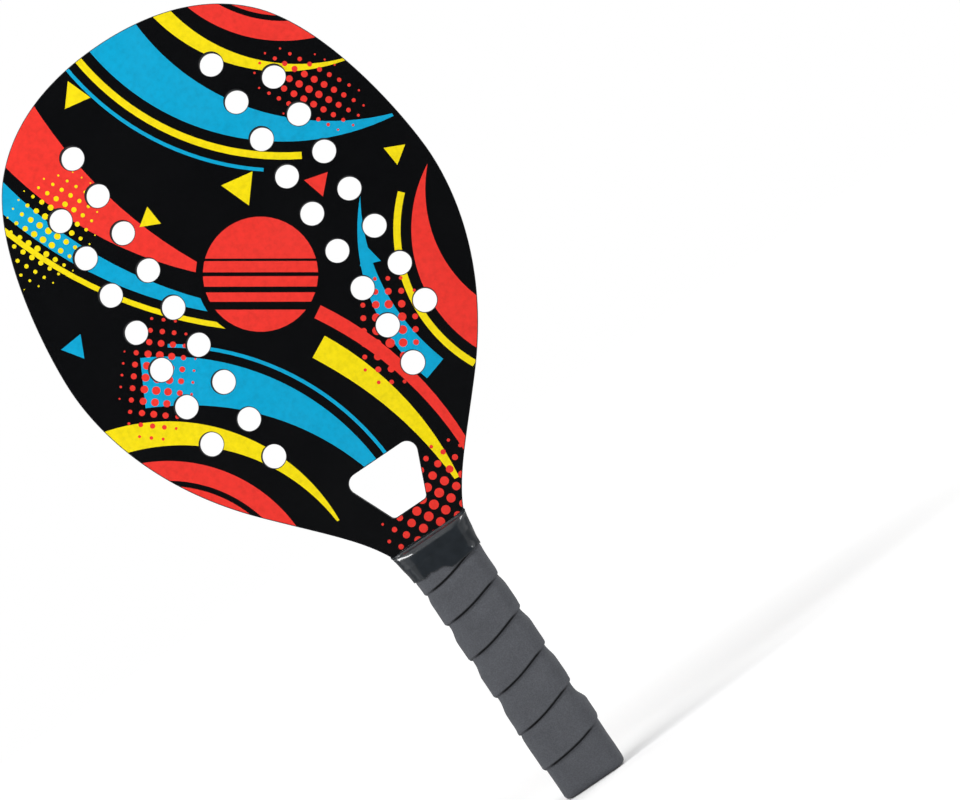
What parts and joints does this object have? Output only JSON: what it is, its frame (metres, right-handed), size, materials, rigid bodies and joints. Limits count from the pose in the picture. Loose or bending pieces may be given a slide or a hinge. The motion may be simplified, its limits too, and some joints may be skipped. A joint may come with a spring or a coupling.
{
  "type": "beach tennis racket",
  "caption": "Flat wooden beach racket: drilled blade with printed faces, throat opening, straight handle with a wound foam tape and a shrunk neck sleeve.",
  "frame": {"origin": "centre of the butt's flat end, on the board's middle plane", "axes": "+Z along the handle to the blade's tip, +X across the blade, front face towards -Y"},
  "size_m": [0.24, 0.0303, 0.494],
  "materials": {
    "board": "fibreboard, edges and holes painted",
    "print": "printed sheet under satin lacquer",
    "cheek": "sanded softwood",
    "foam": "closed-cell foam, matt",
    "sleeve": "glossy shrunk film"
  },
  "bodies": {
    "root": {"board": "board", "front_print": "print", "back_print": "print", "front_cheek": "cheek", "back_cheek": "cheek", "grip_tape": "foam", "neck_sleeve": "sleeve"}
  },
  "joints": []
}
